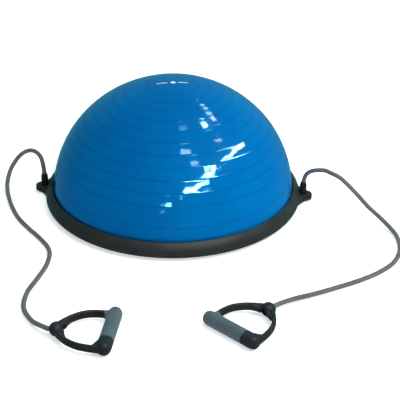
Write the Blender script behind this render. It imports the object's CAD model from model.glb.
"""Looks of the balance dome trainer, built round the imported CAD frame."""
import math

import bpy
import numpy as np
from mathutils import Matrix, Vector, noise


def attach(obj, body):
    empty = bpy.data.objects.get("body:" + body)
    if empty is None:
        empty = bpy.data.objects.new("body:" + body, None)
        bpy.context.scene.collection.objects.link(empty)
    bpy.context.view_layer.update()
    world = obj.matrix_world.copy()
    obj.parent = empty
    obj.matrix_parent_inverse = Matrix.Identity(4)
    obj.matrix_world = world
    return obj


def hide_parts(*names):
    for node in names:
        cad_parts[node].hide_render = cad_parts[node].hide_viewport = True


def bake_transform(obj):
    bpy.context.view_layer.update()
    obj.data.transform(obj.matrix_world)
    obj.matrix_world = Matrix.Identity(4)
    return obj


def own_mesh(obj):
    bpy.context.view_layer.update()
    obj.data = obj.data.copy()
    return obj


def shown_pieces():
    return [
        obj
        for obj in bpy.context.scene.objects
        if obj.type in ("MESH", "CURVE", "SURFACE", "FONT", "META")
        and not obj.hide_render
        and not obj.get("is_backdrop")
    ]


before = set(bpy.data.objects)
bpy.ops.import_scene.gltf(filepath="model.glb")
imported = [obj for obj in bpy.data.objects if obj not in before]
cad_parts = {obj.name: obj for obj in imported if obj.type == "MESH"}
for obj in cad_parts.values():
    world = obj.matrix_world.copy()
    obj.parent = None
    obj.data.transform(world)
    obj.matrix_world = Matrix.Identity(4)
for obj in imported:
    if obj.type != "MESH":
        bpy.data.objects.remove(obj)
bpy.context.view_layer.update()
scene = bpy.context.scene
scene.view_settings.view_transform = "Standard"

# ------------------------------------------------------------ dimensions (m)
A, B, Z0 = 0.28186, 0.27043, 0.0181          # dome: half axes and centre
LUG_X = 0.3075
SEAT_Z = 0.0168
HANDLE_Z = 0.01523
BOSS_R = 0.0147
GRIP_R, GRIP_TALL = 0.0145, 1.05
GRIP_U, GRIP_V = 0.1010, 0.0040
GRIP_SLANT = math.radians(2.7)
GRIP_HALF = 0.0675
SEAM_S, SEAM_U = -0.0355, 0.0840
SIDES = {"left": -1.0, "right": 1.0}
HANDLES = {"left": (-0.1784, -0.5727, -1.4, False),
           "right": (0.2232, -0.4815, -132.4, True)}


# ---------------------------------------------------------------- mesh tools
def make(name, verts, faces, mat, sharp=38.0, out=True):
    me = bpy.data.meshes.new(name)
    me.from_pydata([tuple(map(float, v)) for v in verts], [], faces)
    me.update()
    ob = bpy.data.objects.new(name, me)
    scene.collection.objects.link(ob)
    if out and volume(me) < 0:
        me.flip_normals()
    me.materials.append(mat)
    smooth(ob, sharp)
    return ob


def volume(me):
    me.calc_loop_triangles()
    n = len(me.loop_triangles)
    tri = np.empty(n * 3, np.int32)
    me.loop_triangles.foreach_get("vertices", tri)
    co = np.empty(len(me.vertices) * 3)
    me.vertices.foreach_get("co", co)
    t = co.reshape(-1, 3)[tri.reshape(-1, 3)]
    return float(np.einsum("ij,ij->i", t[:, 0], np.cross(t[:, 1], t[:, 2])).sum() / 6)


def smooth(ob, sharp=38.0):
    ob.data.shade_smooth()
    ob.data.set_sharp_from_angle(angle=math.radians(sharp))


def soft(pts, d=0.0004, n=3, closed=True):
    """Round the corners of a profile by small arcs."""
    pts = [Vector((p[0], p[1])) for p in pts]
    out = []
    m = len(pts)
    for i, p in enumerate(pts):
        if not closed and i in (0, m - 1):
            out.append(tuple(p))
            continue
        a, b = pts[i - 1], pts[(i + 1) % m]
        da, db = (a - p), (b - p)
        la, lb = da.length, db.length
        if la < 1e-9 or lb < 1e-9 or p.x < 1e-9:
            out.append(tuple(p))
            continue
        ang = da.angle(db)
        if ang > math.radians(165):
            out.append(tuple(p))
            continue
        ea, eb = p + da * (min(d, la * 0.45) / la), p + db * (min(d, lb * 0.45) / lb)
        for k in range(n + 1):
            t = k / n
            out.append(tuple(ea * (1 - t) ** 2 + p * 2 * t * (1 - t) + eb * t * t))
    return out


def turn(name, profile, n, mat, sharp=38.0, at=None):
    """Turned piece. profile: (r, z) points, closed loop or ending on the axis."""
    verts, index = [], []
    ang = np.arange(n) * 2 * math.pi / n
    ca, sa = np.cos(ang), np.sin(ang)
    for r, z in profile:
        if r < 1e-7:
            index.append([len(verts)] * n)
            verts.append((0, 0, z))
        else:
            index.append(list(range(len(verts), len(verts) + n)))
            verts += [(r * c, r * s, z) for c, s in zip(ca, sa)]
    faces = []
    m = len(profile)
    axis = profile[0][0] < 1e-7 and profile[-1][0] < 1e-7
    for i in range(m - 1 if axis else m):
        p, q = index[i], index[(i + 1) % m]
        for k in range(n):
            f = [p[k], p[(k + 1) % n], q[(k + 1) % n], q[k]]
            f = [v for j, v in enumerate(f) if v != f[j - 1]]
            if len(set(f)) > 2:
                faces.append(f)
    ob = make(name, verts, faces, mat, sharp)
    if at is not None:
        ob.data.transform(at)
    return ob


def loft(name, rings, mat, closed=True, caps=False, sharp=38.0):
    """Skin through rings of equal point counts. closed: last joins first."""
    m, n = len(rings), len(rings[0])
    verts = [p for ring in rings for p in ring]
    faces = []
    for i in range(m if closed else m - 1):
        j = (i + 1) % m
        for k in range(n):
            l = (k + 1) % n
            faces.append([i * n + k, i * n + l, j * n + l, j * n + k])
    if caps:
        faces.append(list(range(n))[::-1])
        faces.append([(m - 1) * n + k for k in range(n)])
    return make(name, verts, faces, mat, sharp)


def catmull(points, per):
    pts = [points[0] * 2 - points[1]] + points + [points[-1] * 2 - points[-2]]
    out = []
    for i in range(1, len(pts) - 2):
        p0, p1, p2, p3 = pts[i - 1:i + 3]
        t0 = 0.0
        t1 = t0 + (p1 - p0).length ** 0.5
        t2 = t1 + (p2 - p1).length ** 0.5
        t3 = t2 + (p3 - p2).length ** 0.5
        for k in range(per):
            t = t1 + (t2 - t1) * k / per
            a1 = p0 * ((t1 - t) / (t1 - t0)) + p1 * ((t - t0) / (t1 - t0))
            a2 = p1 * ((t2 - t) / (t2 - t1)) + p2 * ((t - t1) / (t2 - t1))
            a3 = p2 * ((t3 - t) / (t3 - t2)) + p3 * ((t - t2) / (t3 - t2))
            b1 = a1 * ((t2 - t) / (t2 - t0)) + a2 * ((t - t0) / (t2 - t0))
            b2 = a2 * ((t3 - t) / (t3 - t1)) + a3 * ((t - t1) / (t3 - t1))
            out.append(b1 * ((t2 - t) / (t2 - t1)) + b2 * ((t - t1) / (t2 - t1)))
    out.append(points[-1])
    return out


def evaluated(ob):
    bpy.context.view_layer.update()
    deps = bpy.context.evaluated_depsgraph_get()
    me = bpy.data.meshes.new_from_object(ob.evaluated_get(deps))
    me.transform(ob.matrix_world)
    ob.modifiers.clear()
    ob.data = me
    ob.matrix_world = Matrix.Identity(4)
    return ob


def cut(ob, others, op="DIFFERENCE", solver="MANIFOLD"):
    for o in others:
        b = ob.modifiers.new("b", "BOOLEAN")
        b.operation = op
        b.solver = solver
        b.object = o
        b.material_mode = "INDEX"
    mats = [m for m in ob.data.materials]
    evaluated(ob)
    ob.data.materials.clear()
    ob.data.materials.append(mats[0])
    for p in ob.data.polygons:
        p.material_index = 0
    for o in others:
        bpy.data.objects.remove(o, do_unlink=True)
    return ob


def remove(*obs):
    for o in obs:
        bpy.data.objects.remove(o, do_unlink=True)


def copy_of(ob, name, matrix):
    me = ob.data.copy()
    me.name = name
    me.transform(matrix)
    new = bpy.data.objects.new(name, me)
    scene.collection.objects.link(new)
    return new


# ----------------------------------------------------------------- materials
class Mat:
    def __init__(self, name, colour, rough, metallic=0.0, spec=0.5):
        self.m = bpy.data.materials.new(name)
        self.m.use_nodes = True
        self.t = self.m.node_tree
        self.b = self.t.nodes["Principled BSDF"]
        self.set("Base Color", (*colour, 1))
        self.set("Roughness", rough)
        self.set("Metallic", metallic)
        self.set("Specular IOR Level", spec)
        self.m.diffuse_color = (*colour, 1)
        self.co = self.node("ShaderNodeTexCoord").outputs["Object"]
        self.normal = None

    def node(self, kind, **props):
        n = self.t.nodes.new(kind)
        for k, v in props.items():
            setattr(n, k, v)
        return n

    def set(self, socket, value):
        self.b.inputs[socket].default_value = value

    def link(self, a, b):
        self.t.links.new(a, b)

    def noise(self, scale, detail=3.0, rough=0.5, distort=0.0, stretch=None):
        n = self.node("ShaderNodeTexNoise")
        n.inputs["Scale"].default_value = scale
        n.inputs["Detail"].default_value = detail
        n.inputs["Roughness"].default_value = rough
        n.inputs["Distortion"].default_value = distort
        co = self.co
        if stretch:
            mp = self.node("ShaderNodeMapping")
            mp.inputs["Scale"].default_value = stretch
            self.link(co, mp.inputs["Vector"])
            co = mp.outputs["Vector"]
        self.link(co, n.inputs["Vector"])
        return n.outputs["Fac"]

    def voronoi(self, scale, feature="F1"):
        n = self.node("ShaderNodeTexVoronoi", feature=feature)
        n.inputs["Scale"].default_value = scale
        self.link(self.co, n.inputs["Vector"])
        return n.outputs["Distance"]

    def ramp(self, fac, stops):
        r = self.node("ShaderNodeValToRGB")
        e = r.color_ramp.elements
        while len(e) < len(stops):
            e.new(0.5)
        for el, (p, c) in zip(e, stops):
            el.position = p
            el.color = (*c, 1) if len(c) == 3 else c
        self.link(fac, r.inputs["Fac"])
        return r.outputs["Color"]

    def range(self, fac, a, b, lo=0.0, hi=1.0):
        r = self.node("ShaderNodeMapRange")
        r.inputs["From Min"].default_value = lo
        r.inputs["From Max"].default_value = hi
        r.inputs["To Min"].default_value = a
        r.inputs["To Max"].default_value = b
        self.link(fac, r.inputs["Value"])
        return r.outputs["Result"]

    def math(self, op, a, b):
        n = self.node("ShaderNodeMath", operation=op)
        for i, v in enumerate((a, b)):
            if isinstance(v, (int, float)):
                n.inputs[i].default_value = v
            else:
                self.link(v, n.inputs[i])
        return n.outputs[0]

    def mix(self, fac, a, b, blend="MIX"):
        n = self.node("ShaderNodeMix", data_type="RGBA", blend_type=blend)
        for sock, v in ((n.inputs[0], fac), (n.inputs[6], a), (n.inputs[7], b)):
            if isinstance(v, (int, float)):
                sock.default_value = v
            elif isinstance(v, tuple):
                sock.default_value = (*v, 1)
            else:
                self.link(v, sock)
        return n.outputs[2]

    def bump(self, height, strength, distance):
        n = self.node("ShaderNodeBump")
        n.inputs["Strength"].default_value = strength
        n.inputs["Distance"].default_value = distance
        self.link(height, n.inputs["Height"])
        if self.normal is not None:
            self.link(self.normal, n.inputs["Normal"])
        self.normal = n.outputs["Normal"]
        self.link(self.normal, self.b.inputs["Normal"])

    def colour(self, out):
        self.link(out, self.b.inputs["Base Color"])

    def rough(self, out):
        self.link(out, self.b.inputs["Roughness"])


def vinyl():
    k = Mat("dome_vinyl_mat", (0.0, 0.175, 0.56), 0.09, spec=0.36)
    k.set("Specular Tint", (0.16, 0.62, 1.0, 1.0))
    big = k.noise(5.0, 2.0, 0.5)
    fine = k.noise(60.0, 4.0, 0.6)
    base = k.ramp(big, [(0.30, (0.0, 0.132, 0.42)), (0.70, (0.0, 0.174, 0.51))])
    base = k.mix(k.range(fine, 0.0, 0.22, 0.35, 0.75), base, (0.0, 0.124, 0.39))
    # powder and handling dust, thin and uneven
    dust = k.noise(14.0, 6.0, 0.7, 0.6)
    base = k.mix(k.range(dust, 0.0, 0.045, 0.55, 0.85), base, (0.10, 0.34, 0.52))
    crease = k.node("ShaderNodeAttribute", attribute_name="crease").outputs["Fac"]
    base = k.mix(k.range(crease, 0.0, 0.44, 0.2, 0.95), base, (0.0, 0.045, 0.19))
    k.colour(base)
    k.link(k.range(crease, 0.36, 0.03, 0.15, 0.8), k.b.inputs["Specular IOR Level"])
    streak = k.noise(26.0, 4.0, 0.55, 0.3, (1.0, 1.0, 2.6))
    k.rough(k.math("ADD", k.range(streak, 0.04, 0.10, 0.3, 0.75), k.range(crease, 0.0, 0.12, 0.1, 0.9)))
    k.bump(k.noise(9.0, 1.0, 0.4, 0.2, (1.0, 1.0, 2.2)), 0.07, 0.004)
    k.bump(k.noise(420.0, 2.0, 0.5), 0.05, 0.0003)
    return k.m


def moulded(name, dark, light, rough, grain=900.0, depth=0.00025, speckle=(0.16, 0.165, 0.17)):
    k = Mat(name, light, rough, spec=0.5)
    cloud = k.noise(22.0, 4.0, 0.6)
    col = k.ramp(cloud, [(0.32, dark), (0.68, light)])
    grit = k.noise(grain * 0.55, 2.0, 0.6)
    col = k.mix(k.range(grit, 0.0, 0.35, 0.60, 0.80), col, speckle)
    scuff = k.noise(48.0, 5.0, 0.7, 1.2, (1.0, 1.0, 4.0))
    col = k.mix(k.range(scuff, 0.0, 0.16, 0.60, 0.80), col, speckle)
    k.colour(col)
    k.rough(k.math("ADD", k.range(scuff, rough - 0.05, rough + 0.14, 0.35, 0.8),
                   k.range(grit, -0.05, 0.05)))
    k.bump(k.voronoi(grain), 0.22, depth)
    k.bump(k.noise(grain * 0.35, 3.0, 0.6), 0.20, depth * 1.6)
    return k.m


def rubber(name, dark, light, rough, grain=1400.0, depth=0.0002, sheen=0.0):
    k = Mat(name, light, rough, spec=0.35)
    cloud = k.noise(34.0, 5.0, 0.62, 0.4)
    col = k.ramp(cloud, [(0.30, dark), (0.70, light)])
    bloom = k.noise(120.0, 4.0, 0.7)
    col = k.mix(k.range(bloom, 0.0, 0.18, 0.5, 0.8), col, tuple(min(1.0, c * 1.6) for c in light))
    k.colour(col)
    k.rough(k.range(bloom, rough - 0.07, rough + 0.09, 0.3, 0.75))
    k.set("Sheen Weight", sheen)
    k.set("Sheen Roughness", 0.45)
    k.bump(k.noise(grain, 3.0, 0.65), 0.30, depth)
    return k.m


def grip_mat():
    k = Mat("grip_overmould_mat", (0.105, 0.155, 0.18), 0.62, spec=0.35)
    cloud = k.noise(28.0, 4.0, 0.6, 0.3)
    col = k.ramp(cloud, [(0.30, (0.078, 0.118, 0.140)), (0.70, (0.104, 0.150, 0.174))])
    palm = k.noise(75.0, 5.0, 0.7)
    col = k.mix(k.range(palm, 0.0, 0.25, 0.52, 0.82), col, (0.155, 0.200, 0.222))
    k.colour(col)
    k.rough(k.range(palm, 0.52, 0.74, 0.3, 0.75))
    k.set("Sheen Weight", 0.18)
    k.set("Sheen Roughness", 0.4)
    k.bump(k.voronoi(1150.0), 0.35, 0.00025)
    k.bump(k.noise(300.0, 3.0, 0.6), 0.18, 0.0003)
    return k.m


def steel():
    k = Mat("screw_steel_mat", (0.42, 0.42, 0.43), 0.32, metallic=1.0)
    turning = k.noise(500.0, 3.0, 0.6, 0.0, (1.0, 1.0, 0.1))
    k.colour(k.ramp(turning, [(0.3, (0.33, 0.33, 0.34)), (0.7, (0.50, 0.50, 0.50))]))
    k.rough(k.range(turning, 0.24, 0.44))
    k.bump(turning, 0.2, 0.0001)
    return k.m


def print_ink():
    k = Mat("centre_mark_mat", (0.72, 0.76, 0.80), 0.35, spec=0.5)
    wear = k.noise(260.0, 5.0, 0.7)
    k.colour(k.ramp(wear, [(0.38, (0.62, 0.72, 0.80)), (0.50, (0.92, 0.94, 0.95))]))
    k.rough(k.range(wear, 0.28, 0.5))
    k.bump(wear, 0.15, 0.0001)
    return k.m


VINYL = vinyl()
RING = moulded("ring_plastic_mat", (0.018, 0.020, 0.021), (0.032, 0.034, 0.035), 0.42,
               speckle=(0.11, 0.115, 0.12))
TRAY = moulded("tray_plastic_mat", (0.030, 0.031, 0.033), (0.048, 0.050, 0.052), 0.48, 700.0, 0.0004)
HANDLE = moulded("handle_plastic_mat", (0.0185, 0.0178, 0.0215), (0.0275, 0.0268, 0.0315), 0.42, 1000.0,
                 0.00018, (0.045, 0.048, 0.052))
GRIP = grip_mat()
TUBE = rubber("tube_rubber_mat", (0.115, 0.115, 0.125), (0.165, 0.165, 0.178), 0.52, 1500.0, 0.00015, 0.15)
FERRULE = rubber("ferrule_rubber_mat", (0.010, 0.010, 0.011), (0.020, 0.021, 0.022), 0.46)
FOOT = rubber("foot_rubber_mat", (0.012, 0.012, 0.012), (0.024, 0.024, 0.024), 0.66, 900.0, 0.0003)
PLUG = moulded("plug_plastic_mat", (0.020, 0.020, 0.021), (0.034, 0.034, 0.036), 0.42, 1200.0, 0.00015,
               (0.08, 0.08, 0.085))
STEEL = steel()
INK = print_ink()

SLOT = {}


def piece(ob, body, slot, *nodes):
    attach(ob, body)
    if nodes:
        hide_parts(*nodes)
    return ob


# ---------------------------------------------------------------------- dome
SEGS = 256


RIBS = [0.0576 + 0.0279 * k for k in range(11)] + [0.3822]


def dome_rows():
    t = np.linspace(0, math.pi / 2 - 0.02, 6000)
    r, z = A * np.sin(t), Z0 + B * np.cos(t)
    s = np.concatenate([[0], np.cumsum(np.hypot(np.diff(r), np.diff(z)))])
    s_end = float(np.interp(-0.0292, -z, s))
    ribs = RIBS
    marks = list(np.arange(0.004, s_end, 0.0042))
    marks = [m for m in marks if min(abs(m - q) for q in ribs) > 0.0044]
    for q in ribs:
        marks += [q + d for d in (-0.0036, -0.0027, -0.0020, -0.0014, -0.0007, 0.0, 0.0007, 0.0014, 0.0020, 0.0027, 0.0036)]
    marks = sorted(m for m in marks if 0.003 < m < s_end - 0.0005) + [s_end]
    rows = []
    for m in marks:
        tt = float(np.interp(m, s, t))
        h = sum(0.00016 * math.exp(-((m - q) / 0.0017) ** 2) for q in ribs)
        rows.append((tt, h, m))
    return rows, s_end


def wave(p, s, s_end):
    """Slow swell of the inflated skin, fading towards the bead."""
    q = Vector(p)
    w = 0.00042 * noise.noise(Vector((q.x * 7, q.y * 7, q.z * 11)))
    w += 0.00011 * noise.noise(Vector((q.x * 17 + 5, q.y * 17, q.z * 30)))
    w += 0.00004 * noise.noise(Vector((q.x * 42, q.y * 42 + 9, q.z * 70)))
    return w * min(1.0, (s_end - s) / 0.03) * min(1.0, s / 0.02)


def build_dome():
    rows, s_end = dome_rows()
    ang = np.arange(SEGS) * 2 * math.pi / SEGS
    verts = [(0.0, 0.0, Z0 + B)]
    faces = []
    count = 0

    def add(ring):
        nonlocal count
        verts.extend(ring)
        count += 1

    for tt, h, s in rows:
        nr, nz = math.sin(tt) / A, math.cos(tt) / B
        l = math.hypot(nr, nz)
        nr, nz = nr / l, nz / l
        r, z = A * math.sin(tt), Z0 + B * math.cos(tt)
        ring = []
        for a in ang:
            c, sn = math.cos(a), math.sin(a)
            d = h + wave((r * c, r * sn, z), s, s_end)
            ring.append(((r + nr * d) * c, (r + nr * d) * sn, z + nz * d))
        add(ring)
    tail = soft([(A, 0.0285), (A, 0.0258), (0.2894, 0.0258), (0.2894, 0.0205), (A - 0.003, 0.0205)],
                0.0008, 3, closed=False)
    tail = [p for p in tail[1:]]
    inner = [((A - 0.003) * math.sin(t), Z0 + (B - 0.003) * math.cos(t))
             for t in np.linspace(math.pi / 2 - 0.045, 0.05, 26)]
    for r, z in tail + inner:
        add([(r * math.cos(a), r * math.sin(a), z) for a in ang])
    n = SEGS
    for k in range(n):
        faces.append([0, 1 + k, 1 + (k + 1) % n])
    for i in range(count - 1):
        for k in range(n):
            l = (k + 1) % n
            faces.append([1 + i * n + k, 1 + (i + 1) * n + k, 1 + (i + 1) * n + l, 1 + i * n + l])
    verts.append((0.0, 0.0, Z0 + B - 0.003))
    last = len(verts) - 1
    base = 1 + (count - 1) * n
    for k in range(n):
        faces.append([last, base + (k + 1) % n, base + k])
    ob = make("dome_skin", verts, faces, VINYL, 60.0)
    crease = np.zeros(len(verts), dtype=np.float32)
    for i, (_, _, s) in enumerate(rows):
        crease[1 + i * n:1 + (i + 1) * n] = max(math.exp(-((s - q) / 0.0013) ** 2) for q in RIBS)
    ob.data.attributes.new("crease", "FLOAT", "POINT").data.foreach_set("value", crease)
    return ob


dome = piece(build_dome(), "base", "dome_vinyl", "dome_membrane")
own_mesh(dome)


def on_dome(x, y, lift):
    q = math.sqrt(max(0.0, 1 - (x * x + y * y) / (A * A)))
    return (x, y, Z0 + B * q + lift)


def decal(name, outline_fn, nx, ny):
    """Thin printed patch on the dome; outline_fn maps (a, b) in 0..1 to x, y."""
    top, bottom = [], []
    for i in range(nx + 1):
        for j in range(ny + 1):
            x, y = outline_fn(i / nx, j / ny)
            top.append(on_dome(x, y, 0.00062))
            bottom.append(on_dome(x, y, -0.00040))
    w = ny + 1
    n = len(top)
    f = []
    for i in range(nx):
        for j in range(ny):
            a = i * w + j
            f.append([a, a + w, a + w + 1, a + 1])
            f.append([n + a, n + a + 1, n + a + w + 1, n + a + w])
    edge = [i * w for i in range(nx + 1)] + [nx * w + j for j in range(1, ny + 1)] \
        + [i * w + ny for i in range(nx - 1, -1, -1)] + [j for j in range(ny - 1, 0, -1)]
    for k in range(len(edge)):
        a, b = edge[k], edge[(k + 1) % len(edge)]
        f.append([a, n + a, n + b, b])
    return make(name, top + bottom, f, INK)


marks = []
turn_z = math.radians(9.0)
for k, (x0, x1, half) in enumerate(((-0.037, -0.0125, 0.0019), (0.0125, 0.034, 0.0019),
                                    (-0.0070, 0.0070, None))):
    def shape(a, b, x0=x0, x1=x1, half=half):
        x = x0 + (x1 - x0) * a
        h = half * (1.0 - 0.55 * abs(x) / 0.036) if half else 0.0070 - abs(x) + 1e-4
        y = h * (2 * b - 1)
        return (x * math.cos(turn_z) - y * math.sin(turn_z), x * math.sin(turn_z) + y * math.cos(turn_z))
    marks.append(decal(f"mark_{k}", shape, 12, 4))
bpy.ops.object.select_all(action="DESELECT")
for m in marks:
    m.select_set(True)
bpy.context.view_layer.objects.active = marks[0]
bpy.ops.object.join()
marks[0].name = "centre_mark"
piece(marks[0], "base", "dome_vinyl")
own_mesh(marks[0])

# ---------------------------------------------------- platform: ring and tray
_out = [Vector((0.3175 + 0.012 * math.cos(math.radians(a)), 0.012 * math.sin(math.radians(a)), 0))
        for a in (0, 15, 30, 45, 58)]
_out += [Vector(p) for p in ((0.3190, 0.0131, 0), (0.3135, 0.0170, 0), (0.3068, 0.0243, 0),
                             (0.3012, 0.0335, 0), (0.2962, 0.0440, 0), (0.2915, 0.0530, 0))]
_curve = catmull(_out, 8)
_phi = np.array([math.atan2(p.y, p.x) for p in _curve])
_rad = np.array([math.hypot(p.x, p.y) for p in _curve])


def lug_r(phi):
    return float(np.interp(abs(phi), _phi, _rad, right=0.28))


def smax(a, b, k=0.0016):
    m = max(a, b)
    return m + k * math.log(math.exp((a - m) / k) + math.exp((b - m) / k)) - k * math.log(2) * math.exp(-abs(a - b) / k)


def columns():
    deg = set()
    for c in (0.0, 180.0):
        deg |= {round((c + d) % 360, 3) for d in np.arange(-13.0, 13.01, 0.30)}
    for d in np.arange(0, 360, 1.5):
        if min(abs(d), abs(d - 180), abs(d - 360)) > 13.2:
            deg.add(round(float(d), 3))
    return [math.radians(d) for d in sorted(deg)]


COLS = columns()


def local_phi(a):
    """Angle from the nearer lug axis."""
    a = (a + math.pi) % (2 * math.pi) - math.pi
    return a if abs(a) < math.pi / 2 else (math.pi - abs(a)) * (1 if a > 0 else -1)


rim_z = np.array([0.0113, 0.0125, 0.0150, 0.0175, 0.0203, 0.0238, 0.0277, 0.0314, 0.0349, 0.0378])
rim_r = np.array([0.2992, 0.2997, 0.3000, 0.2999, 0.2994, 0.2983, 0.2965, 0.2940, 0.2910, 0.2880])


def rim(z):
    return float(np.interp(z, rim_z, rim_r))


def ring_column(a):
    phi = local_phi(a)
    rl = lug_r(phi)
    w = min(1.0, max(0.0, (rl - 0.2996) / 0.0040))
    w = w * w * (3 - 2 * w)
    pts = [(0.2832, 0.0380), (0.2833, 0.0388), (0.2838, 0.0395), (0.2847, 0.0399), (0.2857, 0.0397),
           (0.2868, 0.0390), (0.2882, 0.0378), (0.2896, 0.0365), (0.2910, 0.0350), (0.2926, 0.0332),
           (0.2941, 0.0313), (0.2954, 0.0295), (0.2966, 0.0276), (0.2976, 0.0256), (0.2985, 0.0234),
           (0.2991, 0.0217)]
    lip_n = len(pts)
    f = min(0.0030, max(0.0006, 0.62 * (rl - 0.2994)))
    ztop = 0.0199 - 0.0009 * w
    for k in range(17):
        t = k / 16
        zr = 0.0207 - 0.0050 * t
        p_rim = (rim(zr), zr)
        if t <= 0.5:
            q = t / 0.5
            r0 = rim(0.0203) + 0.0002
            rr = r0 + (rl - f - r0) * q
            zz = 0.0203 - (0.0203 - ztop) * (1 - (1 - q) ** 2)
            zz -= 0.0006 * math.sin(math.pi * min(1, q * 1.0)) * w
        else:
            g = (t - 0.5) / 0.5 * math.pi / 2
            rr = rl - f + f * math.sin(g)
            zz = ztop - f + f * math.cos(g)
        pts.append((p_rim[0] * (1 - w) + rr * w, p_rim[1] * (1 - w) + zz * w))
    zl = pts[-1][1]
    for k in range(1, 13):
        z = zl + (0.0122 - zl) * k / 12
        groove = 0.0023 * w * math.exp(-((z - 0.0143) / 0.0008) ** 2)
        pts.append(((smax(rim(z), rl, 0.0012) if w > 0 else rim(z)) - groove, z))
    re = pts[-1][0]
    g = 0.0009 + 0.0009 * w
    pts += [(re - 0.2 * g, 0.0118), (re - g, 0.0113)]
    inner = [(re - g + (0.2903 - re + g) * k / 4, 0.0113) for k in range(1, 5)]
    pts += inner + [(0.2903, 0.0261), (0.2837, 0.0261), (0.2832, 0.0266)]
    return pts


def sweep_columns(name, column, mat, sharp=50.0):
    rings = []
    for a in COLS:
        c, s = math.cos(a), math.sin(a)
        rings.append([(r * c, r * s, z) for r, z in column(a)])
    return loft(name, rings, mat, closed=True, sharp=sharp)


def place(x, y=0.0, turn_by=0.0):
    return Matrix.Translation((x, y, 0)) @ Matrix.Rotation(turn_by, 4, "Z")


ring = sweep_columns("clamp_ring_shell", ring_column, RING)
tools = []
for side, s in SIDES.items():
    tools.append(turn("seat", [(0, SEAT_Z), (0.0089, SEAT_Z), (0.0091, 0.0186), (0.0097, 0.0197),
                               (0.0112, 0.0212), (0.0112, 0.0300), (0, 0.0300)], 48, RING,
                      at=place(s * LUG_X)))
    tools.append(turn("bore", [(0, 0.005), (0.0056, 0.005), (0.0056, 0.025), (0, 0.025)], 32, RING,
                      at=place(s * LUG_X)))
SCREWS = [math.radians(22.5 + 45 * k) for k in range(8)]
for a in SCREWS:
    tools.append(turn("hole", [(0, 0.008), (0.0021, 0.008), (0.0021, 0.0226), (0, 0.0232)], 16, RING,
                      at=place(0.2947 * math.cos(a), 0.2947 * math.sin(a))))
cut(ring, tools)
smooth(ring, 40)
piece(ring, "base", "ring_plastic", "clamp_ring")

tray_z = np.array([0.0032, 0.0042, 0.0055, 0.0075, 0.0095, 0.0109])
tray_r = np.array([0.2872, 0.2902, 0.2930, 0.2960, 0.2980, 0.2988])


def tray_wall(z):
    return float(np.interp(z, tray_z, tray_r))


def tray_column(a):
    phi = local_phi(a)
    rl = lug_r(phi)
    w = min(1.0, max(0.0, (rl - 0.2992) / 0.0040))
    w = w * w * (3 - 2 * w)
    re = smax(tray_wall(0.0104), rl, 0.0012) if w > 0 else tray_wall(0.0104)
    re = re + 0.0002 * w
    g = 0.0009 + 0.0009 * w
    pts = [(re - g, 0.0110 - 0.0004 * w), (re - 0.25 * g, 0.0107 - 0.0006 * w)]
    for k in range(1, 4):
        z = 0.0107 - 0.0006 * w - 0.0011 * k
        pts.append((max(smax(tray_wall(z), rl, 0.0012) if w > 0 else 0, tray_wall(z)) , z))
    f = min(0.0028, max(0.0006, 0.62 * (rl - 0.2988)))
    z1 = pts[-1][1]
    for k in range(1, 15):
        t = k / 14
        zr = z1 + (0.0034 - z1) * t
        p_rim = (tray_wall(zr), zr)
        if t <= 0.5:
            g = t / 0.5 * math.pi / 2
            rr = rl - f + f * math.cos(g)
            zz = 0.0034 + f - f * math.sin(g)
            zz = zz if zz < z1 else z1 - 0.0001 * k
        else:
            q = (t - 0.5) / 0.5
            rr = (rl - f) + (0.2885 - rl + f) * q
            zz = 0.0034
        pts.append((p_rim[0] * (1 - w) + rr * w, p_rim[1] * (1 - w) + zz * w))
    pts += [(0.2855, 0.0032), (0.2820, 0.0031), (0.2780, 0.0031), (0.2767, 0.0033), (0.2757, 0.0042),
            (0.2753, 0.0060), (0.2750, 0.0094), (0.2744, 0.0100), (0.2300, 0.0100), (0.1600, 0.0100),
            (0.0900, 0.0100), (0.0132, 0.0100), (0.0126, 0.0104), (0.0126, 0.0136), (0.0132, 0.0140),
            (0.0900, 0.0140), (0.1800, 0.0140), (0.2670, 0.0140), (0.2702, 0.0144), (0.2720, 0.0160),
            (0.2744, 0.0196), (0.2752, 0.0200), (0.2890, 0.0200), (0.2895, 0.0196), (0.2895, 0.0110)]
    return pts


def rib(x0, x1, a, z0, z1, w0, w1):
    """Drafted rib along a radius: narrower and rounded at its lower edge."""
    rings = []
    for x in (x0, x1):
        sec = [(-w1 / 2, z1), (w1 / 2, z1), (w0 / 2 + 0.0001, z0 + 0.0006), (w0 / 2 - 0.0003, z0 + 0.0001),
               (w0 / 2 - 0.0007, z0), (-w0 / 2 + 0.0007, z0), (-w0 / 2 + 0.0003, z0 + 0.0001),
               (-w0 / 2 - 0.0001, z0 + 0.0006)]
        rings.append([(x, y, z) for y, z in sec])
    ob = loft("rib", rings, TRAY, closed=False, caps=True)
    ob.data.transform(Matrix.Rotation(a, 4, "Z"))
    return ob


tray = sweep_columns("base_tray_shell", tray_column, TRAY)
adds = []
for k in range(8):
    adds.append(rib(0.0275, 0.2762, SCREWS[k], 0.0045, 0.0107, 0.0024, 0.0036))
for k in range(8):
    adds.append(rib(0.1525, 0.2761, SCREWS[k] + math.radians(22.5 + 0.07), 0.0061, 0.0106, 0.0018, 0.0026))
for r in (0.0265, 0.1500):
    adds.append(turn("ring_rib", soft([(r + 0.0033, 0.0108), (r + 0.0028, 0.0047), (r + 0.0002, 0.0047),
                                       (r - 0.0003, 0.0108)], 0.0005, 3), 96, TRAY))
FEET = [math.radians(60 * k) for k in range(6)]
for a in FEET:
    adds.append(turn("foot_boss", soft([(0, 0.0036), (0.0158, 0.0036), (0.0168, 0.0106), (0, 0.0106)],
                                       0.0006, 3, closed=False), 40, TRAY,
                     at=place(0.252 * math.cos(a), 0.252 * math.sin(a), 0.03)))
cut(tray, adds, "UNION")
tools = []
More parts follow.
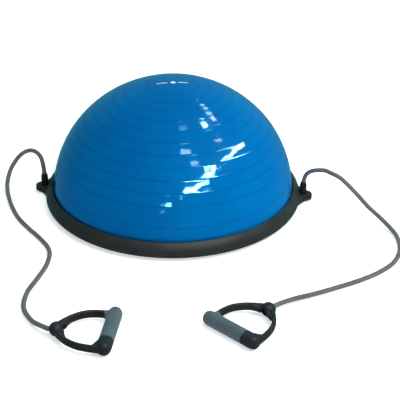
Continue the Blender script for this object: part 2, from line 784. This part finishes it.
for a in FEET:
    tools.append(turn("stem", [(0, 0.001), (0.0039, 0.001), (0.0039, 0.0096), (0, 0.0096)], 24, TRAY,
                      at=place(0.252 * math.cos(a), 0.252 * math.sin(a))))
for side, s in SIDES.items():
    tools.append(turn("pocket", [(0, 0.001), (0.0106, 0.001), (0.0106, 0.0033), (0.0099, 0.0040), (0.0099, 0.0085),
                                 (0, 0.0085)], 40, TRAY, at=place(s * LUG_X)))
    tools.append(turn("bore", [(0, 0.005), (0.0056, 0.005), (0.0056, 0.015), (0, 0.015)], 32, TRAY,
                      at=place(s * LUG_X)))
for a in SCREWS:
    at = place(0.2947 * math.cos(a), 0.2947 * math.sin(a))
    tools.append(turn("sink", [(0, 0.001), (0.0036, 0.001), (0.0036, 0.0098), (0, 0.0098)], 28, TRAY, at=at))
    tools.append(turn("hole", [(0, 0.005), (0.0021, 0.005), (0.0021, 0.015), (0, 0.015)], 16, TRAY, at=at))
cut(tray, tools)
smooth(tray, 35)
piece(tray, "base", "tray_plastic", "base_tray")

# ----------------------------------------------- feet, screws, valve, fittings
foot_profile = [(0, 0.0094), (0.0033, 0.0094), (0.0036, 0.0090), (0.0036, 0.0033), (0.0132, 0.0033),
                (0.0139, 0.0028), (0.0140, 0.0014), (0.0136, 0.0004), (0.0128, 0.0)]
for r in (0.0110, 0.0085, 0.0060, 0.0035):
    foot_profile += [(r + 0.0006, 0.0), (r + 0.0003, 0.0007), (r - 0.0003, 0.0007), (r - 0.0006, 0.0)]
foot_profile += [(0, 0.0)]
foot = turn("foot_source", foot_profile, 48, FOOT, 30)
for k, a in enumerate(FEET):
    o = copy_of(foot, f"rubber_foot_{k + 1}", place(0.252 * math.cos(a), 0.252 * math.sin(a)))
    piece(o, "base", "foot_rubber", f"foot_{k + 1}")
remove(foot)

screw = turn("screw_source", soft([(0, 0.0222), (0.0012, 0.0216), (0.0017, 0.0208), (0.0017, 0.0098),
                                   (0.0032, 0.0098), (0.0032, 0.0085), (0.0025, 0.0078), (0, 0.0076)],
                                  0.0003, 3, closed=False), 32, STEEL, 30)
tools = []
for q in (0.0, math.pi / 2):
    w, l, z0, z1 = 0.00045, 0.0019, 0.0060, 0.0088
    rings = [[(x, -w, z0), (x, w, z0), (x * 0.6, w * 0.7, z1), (x * 0.6, -w * 0.7, z1)] for x in (-l, l)]
    o = loft("slot", rings, STEEL, closed=False, caps=True)
    o.data.transform(Matrix.Rotation(q, 4, "Z"))
    tools.append(o)
cut(screw, tools)
smooth(screw, 30)
for k, a in enumerate(SCREWS):
    o = copy_of(screw, f"case_screw_{k + 1}", place(0.2947 * math.cos(a), 0.2947 * math.sin(a), a * 1.7))
    piece(o, "base", "screw_steel", f"rim_screw_{k + 1}")
remove(screw)

seat = turn("valve_seat_rubber", soft([(0.0060, 0.0166), (0.0162, 0.0161), (0.0165, 0.0143), (0.0122, 0.0143),
                                       (0.0122, 0.0097), (0.0165, 0.0097), (0.0163, 0.0080), (0.0150, 0.0076),
                                       (0.0120, 0.0078), (0.0108, 0.0076), (0.0047, 0.0077), (0.0047, 0.0160)],
                                      0.0005, 3), 64, FOOT, 30)
piece(seat, "base", "foot_rubber", "valve_seat")
plug = turn("valve_plug_cap", soft([(0, 0.0190), (0.0030, 0.0188), (0.0041, 0.0170), (0.0041, 0.0145),
                                    (0.0038, 0.0142), (0.0038, 0.0132), (0.0041, 0.0129), (0.0041, 0.0075),
                                    (0.0080, 0.0074), (0.0085, 0.0066), (0.0085, 0.0056), (0.0078, 0.0050),
                                    (0.0034, 0.0050), (0.0028, 0.0042), (0, 0.0042)], 0.0003, 3, closed=False),
            64, PLUG, 30)
piece(plug, "valve", "plug_plastic", "valve_plug")


def handle_matrix(side):
    x, y, yaw, flip = HANDLES[side]
    m = Matrix.Translation((x, y, HANDLE_Z)) @ Matrix.Rotation(math.radians(yaw), 4, "Z")
    return m @ Matrix.Rotation(math.pi, 4, "X") if flip else m


TUBE_WAY = {
    "left": [(-311, 5, 73), (-317, 14, 84), (-329, 27, 89), (-343, 38, 88), (-360, 46, 80),
             (-375, 47, 68), (-387, 43, 53), (-396, 31, 38), (-399, 3, 19), (-392, -29, 9),
             (-380, -63, 6), (-367, -95, 5.2), (-342, -144, 5.2), (-310, -188, 5.2), (-275, -231, 5.2),
             (-247, -278, 5.2), (-242, -332, 5.2), (-251, -386, 5.2), (-262, -440, 5.2),
             (-258, -494, 5.4), (-232, -540, 8.0), (-213, -558.5, 12)],
    "right": [(313, -5, 70), (324, -13, 83), (338, -21, 90), (354, -29, 93.5), (367, -39, 92.5),
              (385, -47, 87), (400, -55, 77.5), (428, -71, 55), (452, -88, 35), (477, -108, 20),
              (497, -135, 11), (510, -167, 7), (511, -221, 5.2), (493, -273, 5.2), (458, -315, 5.2),
              (415, -349, 5.2), (368, -378, 5.2), (321, -406, 6.2), (275, -434.5, 10.4),
              (252, -453, 13.4)],
}
SPLIT = {"left": 16, "right": 5}     # way-point where the two tube meshes meet


def sweep(name, path, r, mat, bore=0.003, n=20):
    """Hollow tube along a path, with a frame carried along without twist."""
    d0 = (path[1] - path[0]).normalized()
    u = d0.orthogonal().normalized()
    outer, inner = [], []
    prev = d0
    for i, p in enumerate(path):
        d = (path[min(i + 1, len(path) - 1)] - path[max(i - 1, 0)]).normalized()
        u = (prev.rotation_difference(d) @ u).normalized()
        u = (u - d * u.dot(d)).normalized()
        v = d.cross(u)
        prev = d
        ring = [(math.cos(2 * math.pi * k / n), math.sin(2 * math.pi * k / n)) for k in range(n)]
        outer.append([p + (u * c + v * s) * r for c, s in ring])
        inner.append([p + (u * c + v * s) * bore for c, s in ring])
    step = max(1, len(path) // 60)
    keep = sorted(set(list(range(0, len(path), step)) + [len(path) - 1]))
    inner = [inner[i] for i in keep]
    return loft(name, outer + inner[::-1], mat, closed=True, sharp=50)


for side, s in SIDES.items():
    m = handle_matrix(side)
    way = [Vector((s * LUG_X, 0, z)) for z in (0.0081, 0.0200, 0.0330, 0.0475)]
    way += [Vector(p) * 0.001 for p in TUBE_WAY[side]]
    way += [m @ Vector((-0.0170, 0, 0))]
    line = catmull(way, 12)
    line += [m @ Vector((-0.0170 + 0.0138 * k / 4, 0, 0)) for k in range(1, 5)]
    cut_at = (SPLIT[side] + 1) * 12
    low = sweep(f"{side}_tube_rise", line[:cut_at + 1], 0.0050, TUBE)
    high = sweep(f"{side}_tube_run", line[cut_at:], 0.0050, TUBE)
    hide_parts(f"{side}_tube")
    top = line[cut_at]
    if side == "left":
        # this tube loops back behind its lug: the loop stays and the length in front of it lifts
        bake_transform(low)
    else:
        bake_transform(low)
    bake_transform(high)

    ferrule = turn(f"{side}_ferrule_sleeve",
                   soft([(0.0057, 0.0479), (0.0062, 0.0476), (0.0070, 0.0440), (0.0077, 0.0400), (0.0080, 0.0350), (0.0082, 0.0232),
                         (0.0088, 0.0222), (0.0088, 0.0204), (0.0084, 0.0198), (0.0084, SEAT_Z + 0.0003),
                         (0.0054, SEAT_Z + 0.0003), (0.00525, 0.0300), (0.0053, 0.0470)], 0.0005, 3),
                   48, FERRULE, 34, at=place(s * LUG_X))
    piece(ferrule, f"{side}_swivel", "ferrule_rubber", f"{side}_ferrule")
    stop = turn(f"{side}_stopper_plug",
                soft([(0, 0.0235), (0.0018, 0.0235), (0.0026, 0.0215), (0.0026, 0.0078), (0.0085, 0.0078),
                      (0.0087, 0.0064), (0.0085, 0.0050), (0.0075, 0.0040), (0.0030, 0.0040), (0.0026, 0.0046),
                      (0, 0.0046)], 0.0004, 3, closed=False), 48, PLUG, 34, at=place(s * LUG_X))
    piece(stop, f"{side}_swivel", "plug_plastic", f"{side}_tube_stopper")

# ------------------------------------------------------------------- handles


def capsule(r, a, b, n=48, rows=9, tall=1.0):
    prof = [(r * math.sin(t), b - r + r * math.cos(t)) for t in np.linspace(0, math.pi / 2, rows)]
    prof += [(r, b - r + (a - b + 2 * r) * k / 12) for k in range(1, 12)]
    prof += [(r * math.cos(t), a + r - r * math.sin(t)) for t in np.linspace(0, math.pi / 2, rows)]
    prof[0] = (0, b)
    prof[-1] = (0, a)
    return prof


def on_grip(ob, tall=GRIP_TALL):
    g = Vector((math.sin(GRIP_SLANT), math.cos(GRIP_SLANT), 0))
    side_axis = Vector((g.y, -g.x, 0))
    m = Matrix(((side_axis.x, 0, g.x, GRIP_U), (side_axis.y, 0, g.y, GRIP_V), (0, -tall, 0, 0), (0, 0, 0, 1)))
    ob.data.transform(m)
    if volume(ob.data) < 0:
        ob.data.flip_normals()
    return ob


def cap_line(half, r):
    pts = [(0.0, half), (r * 0.22, half - r * 0.012), (r * 0.42, half - r * 0.055), (r * 0.60, half - r * 0.14),
           (r * 0.76, half - r * 0.275), (r * 0.885, half - r * 0.47), (r * 0.965, half - r * 0.72),
           (r, half - r * 1.05)]
    return pts


def arm(name, sign, pts, w0, h0, extra=None):
    """Strap with a rounded section along a line in the handle's plane."""
    rings = []
    n = 28
    for i, p in enumerate(pts):
        d = (pts[min(i + 1, len(pts) - 1)] - pts[max(i - 1, 0)]).normalized()
        nn = Vector((-d.y, d.x, 0))
        t = i / (len(pts) - 1)
        w, h = w0(t), h0(t)
        ring = []
        for k in range(n):
            a = 2 * math.pi * k / n
            c, sn = math.cos(a), math.sin(a)
            e = 2 / 3.2
            x = math.copysign(abs(c) ** e, c) * w / 2
            z = math.copysign(abs(sn) ** e, sn) * h / 2
            ring.append(Vector((p.x, sign * p.y, 0)) + Vector((nn.x, sign * nn.y, 0)) * x + Vector((0, 0, z)))
        rings.append(ring)
    return loft(name, rings, HANDLE, closed=False, caps=True)


KEY = [(0.0000, 0.0040), (0.0030, 0.0120), (0.0080, 0.0200), (0.0270, 0.0385), (0.0480, 0.0495),
       (0.0680, 0.0540), (0.0840, 0.0560), (0.1010, 0.0578)]
LINE = catmull([Vector((u, v, 0)) for u, v in KEY], 6)
BOW = (0.0, 0.0, 0.0, 0.0020, 0.0032, 0.0022, 0.0, 0.0)
FAR_LINE = catmull([Vector((u, v + b, 0)) for (u, v), b in zip(KEY, BOW)], 6)
body = turn("body", [(0, BOSS_R)] + [(BOSS_R * math.sin(t), BOSS_R * math.cos(t))
                                    for t in np.linspace(0.1, math.pi - 0.1, 30)] + [(0, -BOSS_R)], 48, HANDLE)
body.data.transform(Matrix.Rotation(math.pi / 2, 4, "Y"))
parts = [body,
         arm("near", -1, LINE, lambda t: 0.0086 + 0.0056 * max(0.0, 1 - t / 0.42) ** 1.6 + 0.0012 * max(0.0, t - 0.7) / 0.3,
             lambda t: 0.0160 - 0.0006 * math.sin(math.pi * t)),
         arm("far", 1, FAR_LINE, lambda t: 0.0086 + 0.0056 * max(0.0, 1 - t / 0.42) ** 1.6 + 0.0012 * max(0.0, t - 0.7) / 0.3,
             lambda t: 0.0172 - 0.0006 * math.sin(math.pi * t))]
g = turn("grip", cap_line(GRIP_HALF, GRIP_R) + [(GRIP_R, GRIP_HALF - GRIP_R * 1.05 - 0.1 * k / 14 * 1.05)
                                                for k in range(1, 14)]
         + [(a, -b) for a, b in reversed(cap_line(GRIP_HALF, GRIP_R))], 64, HANDLE)
parts.append(on_grip(g))
for u0, u1, v0, v1 in ((0.0735, 0.0868, -0.0560, -0.0300), (0.0750, 0.0890, 0.0565, 0.0435)):
    # web in the corner between arm and grip
    sg = 1 if v0 > 0 else -1
    tri = [Vector((u0, v0, 0)), Vector((u1, v1, 0)), Vector((0.1000, v1, 0)),
           Vector((0.1000, v0, 0))]
    if sg > 0:
        tri = tri[::-1]
    rings = [[(p.x, p.y, z) for p in tri] for z in (-0.0066, 0.0066)]
    parts.append(loft("web", rings, HANDLE, closed=False, caps=True))
# fillet between the two arms where they leave the boss
crotch = [(0.0020, -0.0150), (0.0225, -0.0262), (0.0182, -0.0165), (0.0166, -0.0070), (0.0163, 0.0),
          (0.0166, 0.0070), (0.0182, 0.0165), (0.0225, 0.0262), (0.0020, 0.0150)]
parts.append(loft("crotch", [[(u, v, z) for u, v in crotch] for z in (-0.0050, 0.0050)], HANDLE,
                  closed=False, caps=True))
bpy.ops.object.select_all(action="DESELECT")
for p in parts:
    p.select_set(True)
bpy.context.view_layer.objects.active = parts[0]
bpy.ops.object.join()
whole = parts[0]
rm = whole.modifiers.new("r", "REMESH")
rm.mode = "VOXEL"
rm.voxel_size = 0.00085
sm = whole.modifiers.new("s", "SMOOTH")
sm.factor = 0.5
sm.iterations = 9
evaluated(whole)
whole.data.materials.clear()
whole.data.materials.append(HANDLE)
if volume(whole.data) < 0:
    whole.data.flip_normals()


def half_box(name, s0, gap):
    """Space of the grey overmould: beyond the seam along the grip and past
    the seam on the far arm."""
    g = Vector((math.sin(GRIP_SLANT), math.cos(GRIP_SLANT), 0))
    side_axis = Vector((g.y, -g.x, 0))
    c = Vector((GRIP_U, GRIP_V, 0))
    rings = []
    n = 24
    for sgn in (-1, 1):
        z = sgn * 0.03
        pts = []
        # curved seam across the grip, then the far side, then the arm's seam
        for k in range(n + 1):
            x = 0.030 - 0.047 * k / n
            pts.append(c + side_axis * x + g * (s0 + gap + 0.0022 * (x / GRIP_R) ** 2 * (abs(x) < 0.017)
                                                + (0.0028 if abs(x) >= 0.017 else 0)))
        u = SEAM_U + gap
        pts.append(Vector((u + 0.0006, 0.030, 0)))
        pts.append(Vector((u + 0.0006, 0.0480, 0)))
        for k in range(7):
            v = 0.0500 + 0.0120 * k / 6
            pts.append(Vector((u - 0.0012 * math.sin(math.pi * k / 6), v, 0)))
        pts.append(Vector((u, 0.090, 0)))
        pts.append(Vector((0.140, 0.090, 0)))
        pts.append(c + side_axis * 0.039 + g * (s0 + gap + 0.0028))
        rings.append([(p.x, p.y, z) for p in pts])
    return loft(name, rings, GRIP, closed=False, caps=True)


core = on_grip(turn("core", [(0, 0.0565), (0.0070, 0.0558), (0.0080, 0.0545), (0.0080, -0.0450), (0, -0.0450)],
                    32, HANDLE))
core_hole = on_grip(turn("core_hole", [(0, 0.0568), (0.0073, 0.0561), (0.0083, 0.0548), (0.0083, -0.0460),
                                       (0, -0.0460)], 32, HANDLE))
grip = copy_of(whole, "grip_source", Matrix.Identity(4))
grip.data.materials.clear()
grip.data.materials.append(GRIP)
box_in = half_box("box_in", SEAM_S, 0.00018)
cut(grip, [box_in], "INTERSECT")
cut(grip, [core_hole])
smooth(grip, 42)
box_out = half_box("box_out", SEAM_S, -0.00018)
cut(whole, [box_out])
cut(whole, [core], "UNION")
neck = turn("neck", soft([(0, -0.0200), (0.0068, -0.0200), (0.0068, -0.0128), (0.0056, -0.0112), (0.0056, -0.0033),
                          (0.0075, -0.0033), (0.0075, 0.0100), (0.0083, 0.0124), (0.0100, 0.0150), (0.0100, 0.0200),
                          (0, 0.0200)], 0.0003, 2, closed=False), 40, HANDLE)
neck.data.transform(Matrix.Rotation(math.pi / 2, 4, "Y"))
cut(whole, [neck])
smooth(whole, 42)
cap = turn("cap_source", soft([(0, 0.0070), (0.0022, 0.0070), (0.0026, 0.0080), (0.0060, 0.0080), (0.0071, 0.0070),
                               (0.0071, -0.0028), (0.0026, -0.0028), (0.0026, -0.0135), (0.0018, -0.0150),
                               (0, -0.0150)], 0.0003, 3, closed=False), 48, PLUG, 34)
cap.data.transform(Matrix.Rotation(math.pi / 2, 4, "Y"))
for side in SIDES:
    m = handle_matrix(side)
    piece(copy_of(whole, f"{side}_handle_body", m), f"{side}_handle", "handle_plastic", f"{side}_handle_frame")
    piece(copy_of(grip, f"{side}_grip_sleeve", m), f"{side}_handle", "grip_overmould", f"{side}_handle_grip")
    piece(copy_of(cap, f"{side}_end_plug_cap", m), f"{side}_cord_end", "plug_plastic", f"{side}_end_plug")
remove(whole, grip, cap)

# --------------------------------------------------------- floor, light, camera
bpy.ops.mesh.primitive_plane_add(size=30.0, location=(0, 3.0, 0))
floor = bpy.context.active_object
floor.name = "studio_floor"
fm = bpy.data.materials.new("studio_floor_mat")
fm.use_nodes = True
fb = fm.node_tree.nodes["Principled BSDF"]
fb.inputs["Base Color"].default_value = (0.93, 0.93, 0.93, 1)
fb.inputs["Roughness"].default_value = 0.9
fb.inputs["Specular IOR Level"].default_value = 0.1
fb.inputs["Emission Color"].default_value = (1.0, 1.0, 1.0, 1)
fb.inputs["Emission Strength"].default_value = 0.60
floor.data.materials.append(fm)
floor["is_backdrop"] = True
floor.visible_glossy = False

world = bpy.data.worlds.new("studio")
world.use_nodes = True
wt = world.node_tree
bg = wt.nodes["Background"]
geo = wt.nodes.new("ShaderNodeTexCoord")
sep = wt.nodes.new("ShaderNodeSeparateXYZ")
ramp = wt.nodes.new("ShaderNodeValToRGB")
mr = wt.nodes.new("ShaderNodeMapRange")
mr.inputs["From Min"].default_value = -1.0
mr.inputs["From Max"].default_value = 1.0
wt.links.new(geo.outputs["Generated"], sep.inputs[0])
wt.links.new(sep.outputs["Y"], mr.inputs["Value"])
wt.links.new(mr.outputs["Result"], ramp.inputs["Fac"])
for el, (pos, v) in zip(ramp.color_ramp.elements, ((0.30, 0.05), (0.95, 0.34))):
    el.position = pos
    el.color = (v * 0.28, v * 1.06, v, 1)
wt.links.new(ramp.outputs["Color"], bg.inputs["Color"])
bg.inputs["Strength"].default_value = 0.85
scene.world = world


def lamp(name, az, el, dist, sx, sy, watt, diffuse=True):
    """Area lamp aimed at the dome from azimuth az (0 in front, 90 to the right)."""
    a, e = math.radians(az), math.radians(el)
    d = Vector((math.sin(a) * math.cos(e), -math.cos(a) * math.cos(e), math.sin(e)))
    li = bpy.data.lights.new(name, "AREA")
    li.shape = "RECTANGLE"
    li.size, li.size_y = sx, sy
    li.energy = watt
    ob = bpy.data.objects.new(name, li)
    scene.collection.objects.link(ob)
    ob.location = Vector((0.05, -0.10, 0.15)) + d * dist
    ob.rotation_euler = d.to_track_quat("Z", "Y").to_euler()
    ob.visible_diffuse = diffuse
    return ob


GLOSSY = bpy.data.collections.new("glossy_pieces")
SATIN = bpy.data.collections.new("satin_pieces")
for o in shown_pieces():
    (GLOSSY if o.name in ("dome_skin", "centre_mark") else SATIN).objects.link(o)


def pane(name, p, q, wide, level, warm):
    """Bright window pane from p to q, seen only in the glossy skin."""
    p, q = Vector(p), Vector(q)
    mid, along = (p + q) / 2, q - p
    z = (mid - Vector((0.05, -0.10, 0.15))).normalized()
    x = (along - z * along.dot(z)).normalized()
    y = z.cross(x)
    li = bpy.data.lights.new(name, "AREA")
    li.shape = "RECTANGLE"
    li.size, li.size_y = along.length * (1.15 if level > 150 else 1.0), wide * (1.0 if level > 150 else 0.86)
    li.energy = li.size * li.size_y * math.pi * level
    li.color = (1.0, 0.52, 0.42) if warm else (1.0, 0.92, 0.82)
    ob = bpy.data.objects.new(name, li)
    scene.collection.objects.link(ob)
    m = Matrix((x, y, z)).transposed().to_4x4()
    m.translation = mid
    ob.matrix_world = m
    ob.visible_diffuse = False
    ob.light_linking.receiver_collection = GLOSSY
    return ob


# window panes and ceiling reflections: two ends, width, level, warm
PANES = [
    ((2.55, 0.724, 1.808), (2.529, 0.326, 1.97), 0.118, 161, 0),
    ((2.522, 0.376, 1.968), (2.464, 0.006, 2.092), 0.115, 161, 0),
    ((2.466, 0.049, 2.088), (2.428, -0.376, 2.116), 0.114, 161, 0),
    ((2.447, -0.302, 2.103), (2.273, -0.626, 2.237), 0.113, 148, 0),
    ((2.45, -0.492, 2.07), (2.24, -0.939, 2.17), 0.136, 161, 0),
    ((2.277, -0.644, 2.228), (2.074, -1.169, 2.23), 0.101, 148, 0),
    ((2.009, -1.332, 2.203), (1.609, -1.72, 2.275), 0.128, 148, 0),
    ((1.995, -1.405, 2.172), (1.844, -1.93, 1.897), 0.198, 173, 0),
    ((1.814, -1.719, 2.113), (1.57, -2.125, 1.942), 0.247, 173, 0),
    ((1.817, -2.075, 1.768), (1.39, -2.418, 1.731), 0.152, 161, 0),
    ((1.478, -2.348, 1.752), (1.193, -2.61, 1.596), 0.163, 161, 0),
    ((1.305, -2.523, 1.646), (0.84, -2.735, 1.617), 0.187, 161, 0),
    ((0.953, -2.633, 1.719), (0.702, -2.863, 1.455), 0.163, 161, 0),
    ((0.464, -1.292, 2.97), (0.923, -1.259, 2.874), 0.352, 52, 1),
    ((1.003, -1.727, 2.599), (1.308, -1.549, 2.571), 0.205, 52, 1),
    ((1.111, 0.616, 2.965), (1.289, 0.494, 2.918), 0.266, 124, 0),
    ((1.249, 1.175, 2.709), (1.5, 1.0, 2.658), 0.215, 46, 1),
    ((1.093, 1.231, 2.75), (1.233, 1.354, 2.624), 0.137, 24, 0),
    ((0.924, 1.603, 2.599), (1.032, 1.515, 2.615), 0.134, 80, 0),
    ((0.773, 1.671, 2.603), (0.891, 1.72, 2.529), 0.112, 22, 0),
    ((0.263, 0.057, 3.231), (0.559, 0.029, 3.194), 0.298, 9, 0),
    ((0.361, -0.272, 3.219), (0.612, -0.221, 3.183), 0.092, 10, 0),
    ((1.307, 0.23, 2.951), (1.517, 0.436, 2.817), 0.088, 14, 0),
    ((1.751, 0.026, 2.725), (1.779, 0.233, 2.69), 0.083, 40, 0),
    ((1.745, -0.154, 2.73), (1.976, 0.074, 2.562), 0.151, 41, 1),
    ((-0.365, -3.139, 0.888), (-0.287, -3.138, 0.924), 0.104, 40, 0),
    ((-0.167, -3.159, 0.881), (0.126, -3.122, 1.013), 0.136, 130, 0),
    ((-0.405, -3.212, 0.518), (-0.21, -3.219, 0.596), 0.095, 14, 0),
    ((0.579, -3.006, 1.194), (0.657, -2.922, 1.354), 0.101, 26, 0),
    ((1.646, -2.397, 1.516), (1.923, -2.214, 1.458), 0.152, 10, 0),
    ((2.166, -1.39, 2.008), (2.202, -1.167, 2.103), 0.089, 22, 0),
    ((2.472, 0.827, 1.867), (2.462, 0.969, 1.802), 0.056, 24, 0),
]
for i, row in enumerate(PANES):
    pane(f"window_{i + 1}", *row)
for warm in (lamp("overhead", 70, 72, 3.0, 3.4, 3.4, 78.0), lamp("key", 64, 48, 2.6, 1.6, 1.2, 31.0)):
    warm.visible_glossy = False
    warm.data.color = (1.0, 0.975, 0.965)
sheen_lamp = lamp("satin_key", 34, 54, 2.6, 2.2, 1.4, 24.0, diffuse=False)
sheen_lamp.light_linking.receiver_collection = SATIN
lamp("fill", -60, 35, 3.0, 1.8, 1.4, 1.5).visible_glossy = False

cam_data = bpy.data.cameras.new("camera")
cam = bpy.data.objects.new("camera", cam_data)
scene.collection.objects.link(cam)
fwd = Vector((-0.040655, 0.875064, -0.482297))
right = Vector((0.998594, 0.052023, 0.010214))
up = Vector((-0.034028, 0.481204, 0.875948))
cam.matrix_world = Matrix(((right.x, up.x, -fwd.x, 0.163749), (right.y, up.y, -fwd.y, -2.115374),
                           (right.z, up.z, -fwd.z, 1.153620), (0, 0, 0, 1)))
cam_data.sensor_width = 36.0
cam_data.lens = 90.9
cam_data.shift_x = -0.0015
cam_data.shift_y = 0.00125
cam_data.clip_end = 60.0
scene.camera = cam
